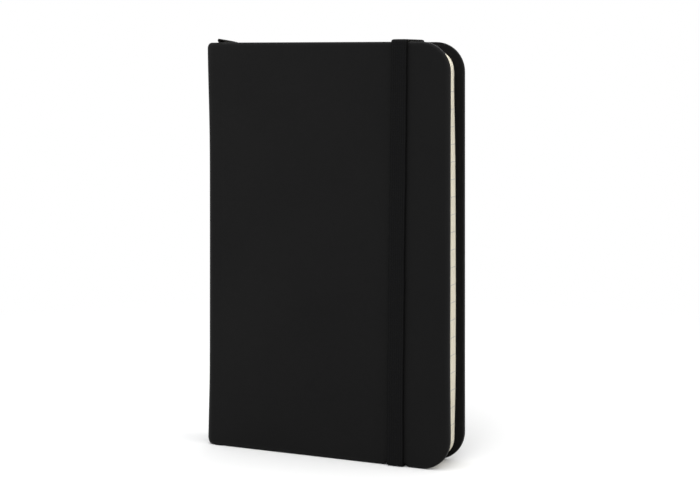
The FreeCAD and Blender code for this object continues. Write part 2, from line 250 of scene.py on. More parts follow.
def elastic_material():
    m = Mat("ribbed_elastic")
    v = m.rest()
    s = m.xyz(v)
    u = m.n("Attribute", props={"attribute_name": "strap_uv"}).outputs["Vector"]
    q = m.xyz(u)     # x across, y along, in mm
    across = m.math("SINE", m.math("MULTIPLY", q[0], 2 * math.pi / 0.75))
    weft = m.math("SINE", m.math("MULTIPLY", q[1], 2 * math.pi / 0.42))
    knit = m.math("SINE", m.math("ADD", m.math("MULTIPLY", q[1], 2 * math.pi / 0.84),
                                 m.math("MULTIPLY", m.math("ABSOLUTE", across), 1.6)))
    fuzz = m.noise(v, 6.0, 3.0, 0.7)
    h = m.math("ADD", m.math("MULTIPLY", weft, 0.25), m.math("MULTIPLY", knit, 0.35))
    h = m.math("ADD", h, m.math("MULTIPLY", across, 0.5))
    h = m.math("ADD", h, m.math("MULTIPLY", fuzz, 0.9))
    c = m.mix(m.math("ADD", 0.5, m.math("MULTIPLY", across, 0.5)), (0.0012, 0.0012, 0.0013), (0.0037, 0.0037, 0.0039))
    c = m.mix(m.math("MULTIPLY", fuzz, 0.45), c, (0.0060, 0.0060, 0.0062))
    # painted shade: the band's cut edges are coloured darker, standing in for the shade on its side walls
    rim = m.math("DIVIDE", m.math("SUBTRACT", m.math("ABSOLUTE", q[0]), BAND_HALF * 0.90), BAND_HALF * 0.08, clamp=True)
    c = m.mix(m.math("MULTIPLY", rim, 0.85), c, (0.0004, 0.0004, 0.0004))
    m.principled(
        Base_Color=c, Roughness=0.88, Normal=m.bump(h, 0.55, 0.09), Specular_IOR_Level=0.07,
        Sheen_Weight=0.012, Sheen_Roughness=0.5,
    )
    return m.m


def paper_material(name, base, line=False):
    m = Mat(name)
    v = m.rest()
    s = m.xyz(v)
    fibre = m.noise(v, 2.2, 4.0, 0.65)
    cloud = m.noise(v, 0.06, 2.0, 0.5)
    tone = m.n("Attribute", props={"attribute_name": "leaf_tone"}).outputs["Fac"]
    c = m.mix(cloud, tuple(b * 0.975 for b in base), tuple(min(1.0, b * 1.015) for b in base))
    c = m.mix(m.math("MULTIPLY", fibre, 0.10), c, tuple(b * 0.80 for b in base))
    c = m.mix(m.math("MULTIPLY", tone, 0.16, clamp=True), c, tuple(b * 0.72 for b in (base[0], base[1] * 0.985, base[2] * 0.95)))
    if line:
        # feint ruling, run off the edges of the leaf
        t = m.math("DIVIDE", m.math("SUBTRACT", s[2], m.math("MULTIPLY", tone, 0.10)), RULE)
        t = m.math("SUBTRACT", t, RULE_PHASE)
        fr = m.math("ABSOLUTE", m.math("SUBTRACT", m.math("FRACT", t), 0.5))
        on = m.math("LESS_THAN", m.math("ABSOLUTE", m.math("SUBTRACT", fr, 0.5)), 0.13 / RULE)
        on = m.math("MULTIPLY", on, m.math("LESS_THAN", s[2], RULE_TOP + 1.0))
        on = m.math("MULTIPLY", on, m.math("GREATER_THAN", s[2], RULE_LOW - 1.0))
        # the ink creeps a little at the cut edge
        cut = m.math("GREATER_THAN", s[0], LEAF_HI[0] - 0.5)
        c = m.mix(m.math("MULTIPLY", on, m.math("ADD", 0.42, m.math("MULTIPLY", cut, 0.22))), c, (0.40, 0.41, 0.42))
    m.principled(
        Base_Color=c, Roughness=0.85, Specular_IOR_Level=0.25,
        Normal=m.bump(fibre, 0.25, 0.03),
    )
    return m.m


def board_material(local=False):
    m = Mat("greyboard_core" if local else "greyboard")
    v = m.local() if local else m.rest()
    f = m.noise(v, 1.5, 5.0, 0.7)
    sp = m.voronoi(v, 1.1)
    c = m.mix(f, (0.27, 0.25, 0.22), (0.42, 0.39, 0.34))
    c = m.mix(m.math("LESS_THAN", sp, 0.16), c, (0.16, 0.15, 0.14))
    m.principled(Base_Color=c, Roughness=0.9, Normal=m.bump(f, 0.5, 0.08), Specular_IOR_Level=0.2)
    return m.m


def mull_material():
    m = Mat("mull_lining")
    v = m.local()
    s = m.xyz(v)
    a = m.math("SINE", m.math("MULTIPLY", s[1], 2 * math.pi / 0.5))
    b = m.math("SINE", m.math("MULTIPLY", s[2], 2 * math.pi / 0.5))
    w = m.math("MAXIMUM", a, b)
    c = m.mix(m.math("ADD", 0.5, m.math("MULTIPLY", w, 0.5)), (0.45, 0.43, 0.38), (0.80, 0.78, 0.72))
    m.principled(Base_Color=c, Roughness=0.9, Normal=m.bump(w, 0.6, 0.08), Specular_IOR_Level=0.2)
    return m.m


def thread_material():
    m = Mat("linen_thread")
    v = m.local()
    s = m.xyz(v)
    tw = m.math("SINE", m.math("ADD", m.math("MULTIPLY", s[1], 14.0), m.math("MULTIPLY", s[2], 22.0)))
    c = m.mix(m.math("ADD", 0.5, m.math("MULTIPLY", tw, 0.5)), (0.62, 0.60, 0.54), (0.86, 0.84, 0.78))
    m.principled(Base_Color=c, Roughness=0.75, Normal=m.bump(tw, 0.6, 0.05), Specular_IOR_Level=0.3)
    return m.m


def satin_material():
    m = Mat("black_satin")
    v = m.rest()
    u = m.n("Attribute", props={"attribute_name": "strap_uv"}).outputs["Vector"]
    q = m.xyz(u)
    warp = m.math("SINE", m.math("MULTIPLY", q[0], 2 * math.pi / 0.18))
    weft = m.math("SINE", m.math("ADD", m.math("MULTIPLY", q[1], 2 * math.pi / 0.30), m.math("MULTIPLY", q[0], 2.2)))
    edge = m.math("GREATER_THAN", m.math("ABSOLUTE", q[0]), 1.95)
    f = m.noise(v, 1.2, 3.0, 0.6)
    c = m.mix(f, (0.0045, 0.0045, 0.005), (0.010, 0.010, 0.011))
    c = m.mix(edge, c, (0.014, 0.014, 0.015))
    h = m.math("ADD", m.math("MULTIPLY", warp, 0.6), m.math("MULTIPLY", weft, 0.3))
    m.principled(
        Base_Color=c, Roughness=m.math("ADD", 0.32, m.math("MULTIPLY", edge, 0.3)),
        Anisotropic=0.5, Normal=m.bump(h, 0.25, 0.03), Specular_IOR_Level=0.32, Sheen_Weight=0.05,
    )
    return m.m


RULE = 5.825
RULE_TOP = 123.35
RULE_LOW = RULE_TOP - 20 * RULE
RULE_PHASE = (RULE_TOP / RULE) % 1.0 - 0.0

COVER = cover_material()
ELASTIC = elastic_material()
PAGE = paper_material("ruled_ivory_paper", (0.745, 0.705, 0.590), True)
ENDPAPER = paper_material("cream_endpaper", (0.74, 0.70, 0.585))
BOARD = board_material()
MULL = mull_material()
THREAD = thread_material()
SATIN = satin_material()


# ---- the shape the closed book has taken --------------------------------------------


def eased(points, n=281):
    """A table of (height, amount) turned into a finely sampled smooth curve."""
    zs, vs = zip(*points)
    z = np.linspace(0, H, n)
    v = np.interp(z, zs, vs)
    for _ in range(60):
        v[1:-1] = (v[:-2] + 2 * v[1:-1] + v[2:]) / 4
    return z, v


BOW_Z, BOW_Y = eased([(0, 0), (12, 0.04), (22, 0.38), (32, 0.66), (46, 0.58), (62, 0.40), (84, 0.34), (106, 0.28), (122, 0.05), (140, 0)])
BULGE_Z, BULGE_X = eased([(0, 0), (6, 0.10), (13, 0.26), (19, 0.42), (30, 0.66), (56, 0.70), (82, 0.62), (96, 0.54), (108, 0.42), (121, 0.12), (127, 0.03), (140, 0)])


def settle(v):
    """The covers stand slightly bowed and the leaves swell with them towards the fore edge."""
    x, y, z = v[:, 0], v[:, 1], v[:, 2]
    s = np.clip((x - XC) / (X1 - XC), 0, 1) ** 1.6
    t = np.clip((y - Y0) / (Y1 - Y0), 0, 1)
    out = v.copy()
    out[:, 1] = y - s * np.interp(z, BOW_Z, BOW_Y) * (1 - t)
    # the rounded long edges of the spine are worn a little hollow at mid height
    g = smooth(Y1 - 3.2, Y1 - 0.5, np.abs(y)) * smooth(XC, X0 + 1.0, x)
    out[:, 0] = x + 0.28 * g * np.sin(np.pi * np.clip(z / H, 0, 1)) ** 0.8
    return out


def make(name, verts, faces, material, attrs=None, settle_it=True, smooth_it=True):
    v = np.asarray(verts, float)
    rest = v.copy()
    if settle_it:
        v = settle(v)
    me = bpy.data.meshes.new(name)
    me.from_pydata((v * MM).tolist(), [], [list(map(int, f)) for f in faces])
    me.update()
    at = me.attributes.new("rest_mm", "FLOAT_VECTOR", "POINT")
    at.data.foreach_set("vector", rest.astype(np.float32).ravel())
    for key, val in (attrs or {}).items():
        val = np.asarray(val, np.float32)
        if val.ndim == 2:
            a = me.attributes.new(key, "FLOAT_VECTOR", "POINT")
            a.data.foreach_set("vector", val.ravel())
        else:
            a = me.attributes.new(key, "FLOAT", "POINT")
            a.data.foreach_set("value", val)
    me.materials.append(material)
    me.validate()
    me.polygons.foreach_set("use_smooth", np.full(len(me.polygons), smooth_it))
    if smooth_it:
        me.set_sharp_from_angle(angle=math.radians(34))
    o = bpy.data.objects.new(name, me)
    bpy.context.scene.collection.objects.link(o)
    return o


def slab(x0, x1, z0, z1, r, thick, u, nc=12, nm=44, edge_out=0.0, edge_in=0.0, rings=5):
    """Board-like sheet with its two corners at x1 rounded. Returns (x, depth, z) and faces.
    Depth runs from the outer face at 0 to thick(x) at the inner face."""
    th = thick if callable(thick) else (lambda x: np.full_like(x, float(thick)))
    cx, cb, ct = x1 - r, z0 + r, z1 - r

    def rows(i):
        a = np.linspace(0, math.pi / 2, nc + 1)
        zs = [cb - (r - i) * np.cos(a), np.linspace(cb, ct, nm + 1)[1:-1], ct + (r - i) * np.cos(a[::-1])]
        xs = [cx + (r - i) * np.sin(a), np.full(nm - 1, x1 - i), cx + (r - i) * np.sin(a[::-1])]
        return np.concatenate(xs), np.concatenate(zs)

    nx = len(u) - 1
    verts, faces = [], []

    def grid(i, depth):
        xr, zr = rows(i)
        g = np.zeros((len(zr), nx + 1, 3))
        g[:, :, 0] = x0 + u[None, :] * (xr[:, None] - x0)
        g[:, :, 2] = zr[:, None]
        g[:, :, 1] = depth(g[:, :, 0])
        return g

    def ring(i, depth):
        g = grid(i, depth)
        return np.concatenate([g[0, :], g[1:-1, -1], g[-1, ::-1]])

    e, f = edge_out, edge_in
    go = grid(e, lambda x: np.zeros_like(x))
    gi = grid(f, th)
    m = go.shape[0]
    base_o = 0
    verts += [go.reshape(-1, 3)]
    n = go.size // 3

    def idx(j, k, base):
        return base + j * (nx + 1) + k

    ring_o = [idx(0, k, 0) for k in range(nx + 1)] + [idx(j, nx, 0) for j in range(1, m - 1)] + [idx(m - 1, k, 0) for k in range(nx, -1, -1)]
    chain = [ring_o]
    prof = []
    if e > 0:
        for q in range(1, rings + 1):
            a = math.pi / 2 * q / rings
            prof.append((e * (1 - math.sin(a)), lambda x, a=a: np.minimum(e, 0.62 * th(x)) * (1 - math.cos(a))))
    if f > 0:
        for q in range(0, rings):
            a = math.pi / 2 * q / rings
            prof.append((f * (1 - math.cos(a)), lambda x, a=a: th(x) - np.minimum(f, 0.3 * th(x)) * (1 - math.sin(a))))
    for i, d in prof:
        p = ring(i, d)
        chain.append(list(range(n, n + len(p))))
        verts.append(p)
        n += len(p)
    base_i = n
    verts.append(gi.reshape(-1, 3))
    chain.append([idx(0, k, base_i) for k in range(nx + 1)] + [idx(j, nx, base_i) for j in range(1, m - 1)] + [idx(m - 1, k, base_i) for k in range(nx, -1, -1)])
    for j in range(m - 1):
        for k in range(nx):
            faces.append((idx(j, k, 0), idx(j, k + 1, 0), idx(j + 1, k + 1, 0), idx(j + 1, k, 0)))
            faces.append((idx(j, k, base_i), idx(j + 1, k, base_i), idx(j + 1, k + 1, base_i), idx(j, k + 1, base_i)))
    for a, b in zip(chain[:-1], chain[1:]):
        for q in range(len(a) - 1):
            faces.append((a[q], b[q], b[q + 1], a[q + 1]))
    left = [idx(j, 0, 0) for j in range(m)] + [c[-1] for c in chain[1:-1]] + [idx(j, 0, base_i) for j in range(m - 1, -1, -1)] + [c[0] for c in chain[-2:0:-1]]
    faces.append(tuple(left))
    return np.concatenate(verts), faces


def place(v, faces, side):
    """Depth to y: the front cover's outer face is Y0 and the back cover's is Y1."""
    v = v.copy()
    if side == "front":
        v[:, 1] = Y0 + v[:, 1]
        return v, faces
    v[:, 1] = Y1 - v[:, 1]
    return v, [tuple(reversed(f)) for f in faces]


def cols(x0, x1, dense):
    """Column positions from 0 to 1, closer together round each x in dense."""
    xs = [x0]
    while xs[-1] < x1 - 1e-6:
        near = min([abs(xs[-1] - d) for d in dense] + [99])
        step = 0.22 if near < 1.6 else 0.45 if near < 5.0 else 2.2
        xs.append(min(x1, xs[-1] + step))
    xs = np.array(xs)
    return (xs - x0) / (x1 - x0)


# ---- covers --------------------------------------------------------------------------

FLANK = 0.60


def cover_thick(x):
    return FLANK + (SKIN_T - FLANK) * smooth(XC - 0.2, XC + 1.3, x)


def dent(v, side):
    """The band bears on the head and tail edges; at the tail the book's weight presses it in."""
    x, z = v[:, 0], v[:, 2]
    out = v.copy()
    share = v[:, 1] / (Y1 - Y0)
    if side == "front":
        share = 1 - share
    lean = LEAN * share + 0.15 * (1 - share)
    xt, xh = XB - lean, XB + lean
    pt = 1 - smooth(BAND_HALF + 0.20, BAND_HALF + 1.70, np.abs(x - xt))
    out[:, 2] += (BAND_T + 0.03) * pt * (1 - smooth(0.0, 4.5, z)) * (z < 4.5)
    ph = 1 - smooth(BAND_HALF - 0.1, BAND_HALF + 0.9, np.abs(x - xh))
    out[:, 2] -= 0.05 * ph * smooth(H - 2.0, H, z)
    return out


def band_cols(x0, x1, r):
    """Where the band's edges fall along rows that shorten towards the rounded corners."""
    k = np.linspace((x1 - r - x0) / (x1 - x0), 1.0, 4)
    return [x0 + (x - x0) / q for x in (XB - BAND_HALF, XB + BAND_HALF) for q in k]


for side in ("front", "back"):
    u = cols(SEAM, X1, [XC] + band_cols(SEAM, X1, R))
    v, f = slab(SEAM, X1, 0.0, H, R, cover_thick, u, edge_out=0.8, edge_in=0.25, nc=14, nm=60)
    # faint crease where the covering flexes, and the slight spring of the covering over the board
    d = v[:, 1]
    crease = np.exp(-((v[:, 0] - XC) / 0.75) ** 2)
    v[:, 1] = d + 0.03 * crease * (d < 0.3)
    v, f = place(dent(v, side), f, side)
    o = make(f"{side}_cover_covering", v, f, COVER)
    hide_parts(f"{side}_cover_skin")
    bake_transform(o)

    lo, hi = nbox(f"{side}_board")
    d0 = (lo[1] - Y0) if side == "front" else (Y1 - hi[1])
    d1 = (hi[1] - Y0) if side == "front" else (Y1 - lo[1])
    u = cols(lo[0] + 0.3, X1 - d0 - 0.1, band_cols(lo[0] + 0.3, X1 - d0 - 0.1, R - d0 - 0.1))
    v, f = slab(lo[0] + 0.3, X1 - d0 - 0.1, d0 + 0.1, H - d0 - 0.1, R - d0 - 0.1, d1 - d0 - 0.12, u, edge_out=0.5, edge_in=0.1, nc=8, nm=30, rings=3)
    v[:, 1] += d0 + 0.05
    v, f = place(dent(v, side), f, side)
    o = make(f"{side}_cover_board", v, f, BOARD)
    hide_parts(f"{side}_board")
    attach(o, f"{side}_cover")

    # endpaper: the glued half runs across the hinge into the gutter
    lo, hi = nbox(f"{side}_pastedown")
    d0 = (lo[1] - Y0) if side == "front" else (Y1 - hi[1])
    xs = FOLD_LO[0] + 0.3
    u = cols(xs, hi[0], [XC])
    v, f = slab(xs, hi[0], lo[2], hi[2], R - (X1 - hi[0]), hi[1] - lo[1], u, nc=8, nm=34)
    v[:, 1] += d0
    v, f = place(v, f, side)
    o = make(f"{side}_endpaper_pasted", v, f, ENDPAPER, {"leaf_tone": np.full(len(v), 0.1)})
    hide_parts(f"{side}_pastedown")
    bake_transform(o)


# ---- spine ---------------------------------------------------------------------------


def spine_mesh():
    r = 2.5
    pts, nrm, thick = [], [], []

    def add(x, y, nx, ny, t):
        pts.append((x, y)), nrm.append((nx, ny)), thick.append(t)

    t_mid = 1.72
    xs = np.linspace(SEAM, X0 + r, 8)
    # a narrow tongue runs in just under the cover's edge, so no hairline opens at the join
    add(SEAM + 0.30, Y0 + 0.05, 0, -1, FLANK - 0.1)
    add(SEAM + 0.01, Y0 + 0.05, 0, -1, FLANK - 0.1)
    for x in xs[:-1]:
        add(x, Y0, 0, -1, FLANK + (t_mid - FLANK) * smooth(SEAM, X0 + r - 0.2, np.array(x)))
    for a in np.linspace(0, math.pi / 2, 13):
        add(X0 + r - r * math.sin(a), Y0 + r - r * math.cos(a), -math.sin(a), -math.cos(a), t_mid)
    for y in np.linspace(Y0 + r, Y1 - r, 14)[1:-1]:
        add(X0, y, -1, 0, t_mid)
    for a in np.linspace(math.pi / 2, 0, 13):
        add(X0 + r - r * math.sin(a), Y1 - r + r * math.cos(a), -math.sin(a), math.cos(a), t_mid)
    for x in xs[:-1][::-1]:
        add(x, Y1, 0, 1, FLANK + (t_mid - FLANK) * smooth(SEAM, X0 + r - 0.2, np.array(x)))
    add(SEAM + 0.01, Y1 - 0.05, 0, 1, FLANK - 0.1)
    add(SEAM + 0.30, Y1 - 0.05, 0, 1, FLANK - 0.1)
    p, n, t = np.array(pts), np.array(nrm), np.array(thick, float)
    # rounded over at head and tail, more so on the worn long edges
    e1 = 0.8 + 1.25 * smooth(SEAM - 0.2, X0 + 0.3, p[:, 0])
    e0 = e1 + 0.45 * smooth(SEAM + 0.5, X0 + 1.0, p[:, 0])
    e2 = np.full(len(p), 0.25)
    d1, d2 = np.minimum(e1, 0.62 * t), np.minimum(e2, 0.3 * t)
    k = 6
    mid = np.linspace(0, 1, 49)
    arc = np.linspace(0, math.pi / 2, k + 1)
    rows = [(0 * t, e0 + (H - e0 - e1) * g) for g in mid]
    rows += [(d1 * (1 - math.cos(g)), H - e1 * (1 - math.sin(g))) for g in arc[1:]]
    rows += [(t - d2 * (1 - math.sin(g)), H - e2 * (1 - math.cos(g))) for g in arc]
    rows += [(t, e2 + (H - 2 * e2) * g) for g in mid[::-1][1:]]
    rows += [(t - d2 * (1 - math.cos(g)), e2 * (1 - math.sin(g))) for g in arc[1:]]
    rows += [(d1 * (1 - math.sin(g)), e0 * (1 - math.cos(g))) for g in arc[:-1]]
    m, c = len(rows), len(p)
    v = np.zeros((m, c, 3))
    for j, (depth, z) in enumerate(rows):
        # the spine stands out a little at head and tail, where the covering is turned in
        flare = 0.68 * smooth(92.0, H, z) ** 1.6 + 0.42 * (1 - smooth(0.0, 34.0, z)) ** 1.6
        outer = np.clip(1 - depth / t, 0, 1) * smooth(0.0, 3.4, SEAM - p[:, 0])
        v[j, :, 0] = p[:, 0] - n[:, 0] * depth - flare * outer
        v[j, :, 1] = p[:, 1] - n[:, 1] * depth
        v[j, :, 2] = z
    faces = []
    for j in range(m):
        for q in range(c - 1):
            a, b = j * c + q, ((j + 1) % m) * c + q
            faces.append((a, b, b + 1, a + 1))
    faces.append(tuple(j * c for j in range(m)))
    faces.append(tuple(j * c + c - 1 for j in range(m - 1, -1, -1)))
    return v.reshape(-1, 3), faces


v, f = spine_mesh()
o = make("spine_covering", v, f, COVER)
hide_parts("spine_skin")
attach(o, "spine_block")

def bar(lo, hi, c, rows=24):
    """Upright strip of board: corners of its section eased by c, ends chamfered."""
    def sec(k):
        x0, x1, y0, y1 = lo[0] + k, hi[0] - k, lo[1] + k, hi[1] - k
        return [(x0 + c, y0), (x1 - c, y0), (x1, y0 + c), (x1, y1 - c), (x1 - c, y1), (x0 + c, y1), (x0, y1 - c), (x0, y0 + c)]
    zs = [(lo[2], c * 0.6), (lo[2] + c, 0)] + [(z, 0) for z in np.linspace(lo[2] + 2 * c, hi[2] - 2 * c, rows)] + [(hi[2] - c, 0), (hi[2], c * 0.6)]
    V = [(x, y, z) for z, k in zs for x, y in sec(k)]
    F = [(j * 8 + k, j * 8 + (k + 1) % 8, (j + 1) * 8 + (k + 1) % 8, (j + 1) * 8 + k) for j in range(len(zs) - 1) for k in range(8)]
    F += [tuple(range(7, -1, -1)), tuple((len(zs) - 1) * 8 + k for k in range(8))]
    return np.array(V), F


lo, hi = nbox("spine_board")
v, f = bar((lo[0] + 0.12, lo[1] + 0.1, lo[2] + 2.2), (hi[0], hi[1] - 0.1, hi[2] - 2.2), 0.22)
o = make("spine_strip", v, f, BOARD)
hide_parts("spine_board")
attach(o, "spine_block")

for node, mat in (("spine_lining", MULL), ("sewing_thread", THREAD)):
    me = frame["nodes"][node].data
    me.materials.clear()
    me.materials.append(mat)


# ---- leaves --------------------------------------------------------------------------


def leaf_cols():
    g = np.concatenate([
        np.linspace(FOLD_LO[0], XC - 1.0, 4)[:-1],
        np.linspace(XC - 1.0, XC + 10.0, 15)[:-1],
        np.linspace(XC + 10.0, LEAF_HI[0], 12),
    ])
    return (g - g[0]) / (g[-1] - g[0])


LEAF_U = leaf_cols()
LEAF_R = 6.6


def trim(v, jitter):
    """Cut fore edge swollen at mid height, leaves cut a hair differently, block dropped a little."""
    s = smooth(XC, LEAF_HI[0], v[:, 0])
    v[:, 0] += s ** 6 * (jitter[0] + np.interp(v[:, 2], BULGE_Z, BULGE_X))
    # the block leans back a hair, so the rear leaves end a little further in
    v[:, 0] -= s ** 6 * 0.30 * np.clip((v[:, 1] - Y0) / (Y1 - Y0), 0, 1)
    v[:, 2] += jitter[1] * np.clip((v[:, 2] - H / 2) / (H / 2), -1, 1) ** 3
    v[:, 2] -= 0.22 * s
    return v


def leaf_mesh(y0, y1, x_start, jitter, close=0.0):
    v, f = slab(x_start, LEAF_HI[0], LEAF_LO[2], LEAF_HI[2], LEAF_R, y1 - y0, LEAF_U, nc=8, nm=16)
    v = v.copy()
    # past the ribbon the two halves of the block lie closer together
    v[:, 1] = y0 + v[:, 1] + close * smooth(-4.0, 14.0, v[:, 0])
    return trim(v, jitter), f


def fold_mesh(xf, ym, ro, ri, jitter):
    """Back of one folded sheet, as a half round strip running from tail to head."""
    n, zn = 8, 9
    V, F = [], []
    zs = np.linspace(LEAF_LO[2], LEAF_HI[2], zn)
    for z in zs:
        for rad in (ro, ri):
            for q in range(n + 1):
                g = -math.pi / 2 + math.pi * q / n
                V.append((xf - rad * math.cos(g), ym + rad * math.sin(g), z))
    w = 2 * (n + 1)
    loop = list(range(n + 1)) + list(range(2 * n + 1, n, -1))
    for j in range(zn - 1):
        for k in range(w):
            a, b = loop[k], loop[(k + 1) % w]
            F.append((j * w + a, j * w + b, (j + 1) * w + b, (j + 1) * w + a))
    for q in range(n):
        F.append((q + 1, q, n + 1 + q, n + 2 + q))
        t = (zn - 1) * w
        F.append((t + q, t + q + 1, t + n + 2 + q, t + n + 1 + q))
    return trim(np.array(V), jitter), F


for i in range(1, 13):
    node = f"section_{i:02d}"
    lo, hi = nbox(node)
    pitch = (hi[1] - lo[1]) / 8
    ym = (lo[1] + hi[1]) / 2
    close = 0.09 * (i / 6 if i <= 6 else (i - 13) / 6)
    xf = FOLD_LO[0] + 4 * pitch + 0.02
    V, F, T, n = [], [], [], 0
    cut = np.clip(rng.normal(0, 0.055, 8), -0.13, 0.13)
    rise = np.clip(rng.normal(0, 0.05, 4), -0.12, 0.12)
    tone = rng.uniform(0, 1, 4)
    for k in range(8):
        q = min(k, 7 - k)
        v, f = leaf_mesh(lo[1] + k * pitch + 0.008, lo[1] + (k + 1) * pitch - 0.008, xf, (cut[k], rise[q]), close)
        V.append(v)
        F += [tuple(e + n for e in ff) for ff in f]
        n += len(v)
        T.append(np.full(len(v), tone[q]))
    for q in range(4):
        v, f = fold_mesh(xf, ym, (4 - q) * pitch - 0.008, (3 - q) * pitch + 0.008, (0.0, rise[q]))
        V.append(v)
        F += [tuple(e + n for e in ff) for ff in f]
        n += len(v)
        T.append(np.full(len(v), tone[q]))
    o = make(f"{node}_leaves", np.concatenate(V), F, PAGE, {"leaf_tone": np.concatenate(T)}, smooth_it=False)
    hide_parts(node, "section_folds")
    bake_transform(o)

for side in ("front", "rear"):
    node = f"{side}_flyleaf"
    lo, hi = nbox(node)
    v, f = leaf_mesh(lo[1] + 0.005, hi[1] - 0.005, FOLD_LO[0] + 0.1, (0.03, 0.0))
    o = make(f"{node}_sheet", v, f, ENDPAPER, {"leaf_tone": np.full(len(v), 0.2)}, smooth_it=False)
    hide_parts(node, "endpaper_folds")
    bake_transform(o)


# ---- straps: the elastic and the ribbon ----------------------------------------------


def rounded(points, radii, step):
    """2-D path through points with its corners rounded, as positions and unit tangents."""
    pts = [np.array(p, float) for p in points]
    out = []

    def line(a, b):
        n = max(1, int(math.ceil(np.linalg.norm(b - a) / step)))
        d = (b - a) / np.linalg.norm(b - a)
        for q in range(n + 1):
            out.append((a + (b - a) * q / n, d))

    prev = pts[0]
    for i in range(1, len(pts) - 1):
        a, b, c, r = prev, pts[i], pts[i + 1], radii[i - 1]
        d0 = (b - pts[i - 1]) / np.linalg.norm(b - pts[i - 1])
        d1 = (c - b) / np.linalg.norm(c - b)
        s, e = b - d0 * r, b + d1 * r
        line(a, s)
        turn = math.atan2(d0[0] * d1[1] - d0[1] * d1[0], d0 @ d1)
        nrm = np.array([-d0[1], d0[0]]) * np.sign(turn)
        centre = s + nrm * r
        for q in range(1, 8):
            g = abs(turn) * q / 8
            pos = centre - nrm * r * math.cos(g) + d0 * r * math.sin(g)
            out.append((pos, d0 * math.cos(g) + nrm * math.sin(g)))
        prev = e
    line(prev, pts[-1])
    clean = [out[0]]
    for p in out[1:]:
        if np.linalg.norm(p[0] - clean[-1][0]) > 1e-6:
            clean.append(p)
    return clean


def strap_section(half, t, ribs, depth, n=41):
    """Closed cross-section of a woven strap: (across, height), ribbed along its length."""
    x = np.sin(np.linspace(-math.pi / 2, math.pi / 2, n)) * 0.35 + np.linspace(-1, 1, n) * 0.65
    env = (1 - np.abs(x) ** 7) ** 0.5 * 0.93 + 0.07
    rib = np.cos(x * math.pi * ribs) ** 2
    h = t / 2 * env - depth * (1 - rib) * (np.abs(x) < 0.95)
    top = np.stack([x * half, h], 1)
    low = np.stack([x[::-1] * half, -h[::-1]], 1)
    return np.concatenate([top, low])


def elastic_strap():
    yf, yb = Y0 - 0.02 - BAND_T / 2, Y1 + 0.02 + BAND_T / 2
    zt, zh = BAND_T / 2, H + 0.02 + BAND_T / 2
    slot = 10.45
    path = rounded(
        [(Y1 - 1.1, slot), (yb, slot), (yb, zt), (yf, zt), (yf, zh), (yb, zh), (yb, H - slot), (Y1 - 1.1, H - slot)],
        [0.48, 0.62, 0.62, 0.72, 0.72, 0.48], 1.6)
    sec = strap_section(BAND_HALF, BAND_T, 4, 0.045)
    m = len(sec)
    V, UV, F, run = [], [], [], 0.0
    last = None
    for p, d in path:
        if last is not None:
            run += np.linalg.norm(p - last)
        last = p
        y, z = p
        out = np.array([-d[1], d[0]])           # to the strap's outer side
        share = np.clip((Y1 - y) / (Y1 - Y0), 0, 1)
        lean = LEAN * (z - H / 2) / (H / 2) * share + 0.15 * (1 - share) * np.sign(z - H / 2)
        wob = 0.05 * math.sin(run * 0.11) + 0.03 * math.sin(run * 0.37 + 1.0)
        half = (1.0 - 0.034 * np.clip(z / H, 0, 1) * share + 0.012) * (1 + 0.006 * math.sin(run * 0.23))
        for a, h in sec:
            V.append((XB + lean + wob + a * half, y + out[0] * h, z + out[1] * h))
            UV.append((a, run, h))
    n = len(path)
    for i in range(n - 1):
        for k in range(m):
            k2 = (k + 1) % m
            F.append((i * m + k, i * m + k2, (i + 1) * m + k2, (i + 1) * m + k))
    F.append(tuple(range(m - 1, -1, -1)))
    F.append(tuple((n - 1) * m + k for k in range(m)))
    return np.array(V), F, np.array(UV)


v, f, uv = elastic_strap()
# keep the strap on the bowed front cover at its own x
o = make("elastic_closure_band", v, f, ELASTIC, {"strap_uv": uv})
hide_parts("elastic_band", "elastic_anchors")
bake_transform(o)


def slot_lip(zc):
    """Pressed lip of the covering round the slot in the back cover that the band enters."""
    rings, segs = 10, 64
    hw, hh = BAND_HALF + 0.28, 0.72
    V, F = [], []
    for i in range(segs):
        a = 2 * math.pi * i / segs
        cx, cz = math.cos(a), math.sin(a)
        k = (abs(cx) ** 6 + abs(cz) ** 6) ** (-1 / 6)
        px, pz = XB + hw * cx * k, zc + hh * cz * k
        for j in range(rings):
            b = 2 * math.pi * j / rings
            rr = 0.16
            V.append((px + rr * math.cos(b) * cx, Y1 - 0.02 + rr * 0.7 * math.sin(b), pz + rr * math.cos(b) * cz))
    for i in range(segs):
        for j in range(rings):
            a, b = i * rings + j, i * rings + (j + 1) % rings
            c, d = ((i + 1) % segs) * rings + (j + 1) % rings, ((i + 1) % segs) * rings + j
            F.append((a, b, c, d))
    return np.array(V), F


for name, zc in (("tail_slot_lip", 10.42), ("head_slot_lip", H - 10.42)):
    v, f = slot_lip(zc)
    o = make(name, v, f, COVER)
    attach(o, "back_cover")


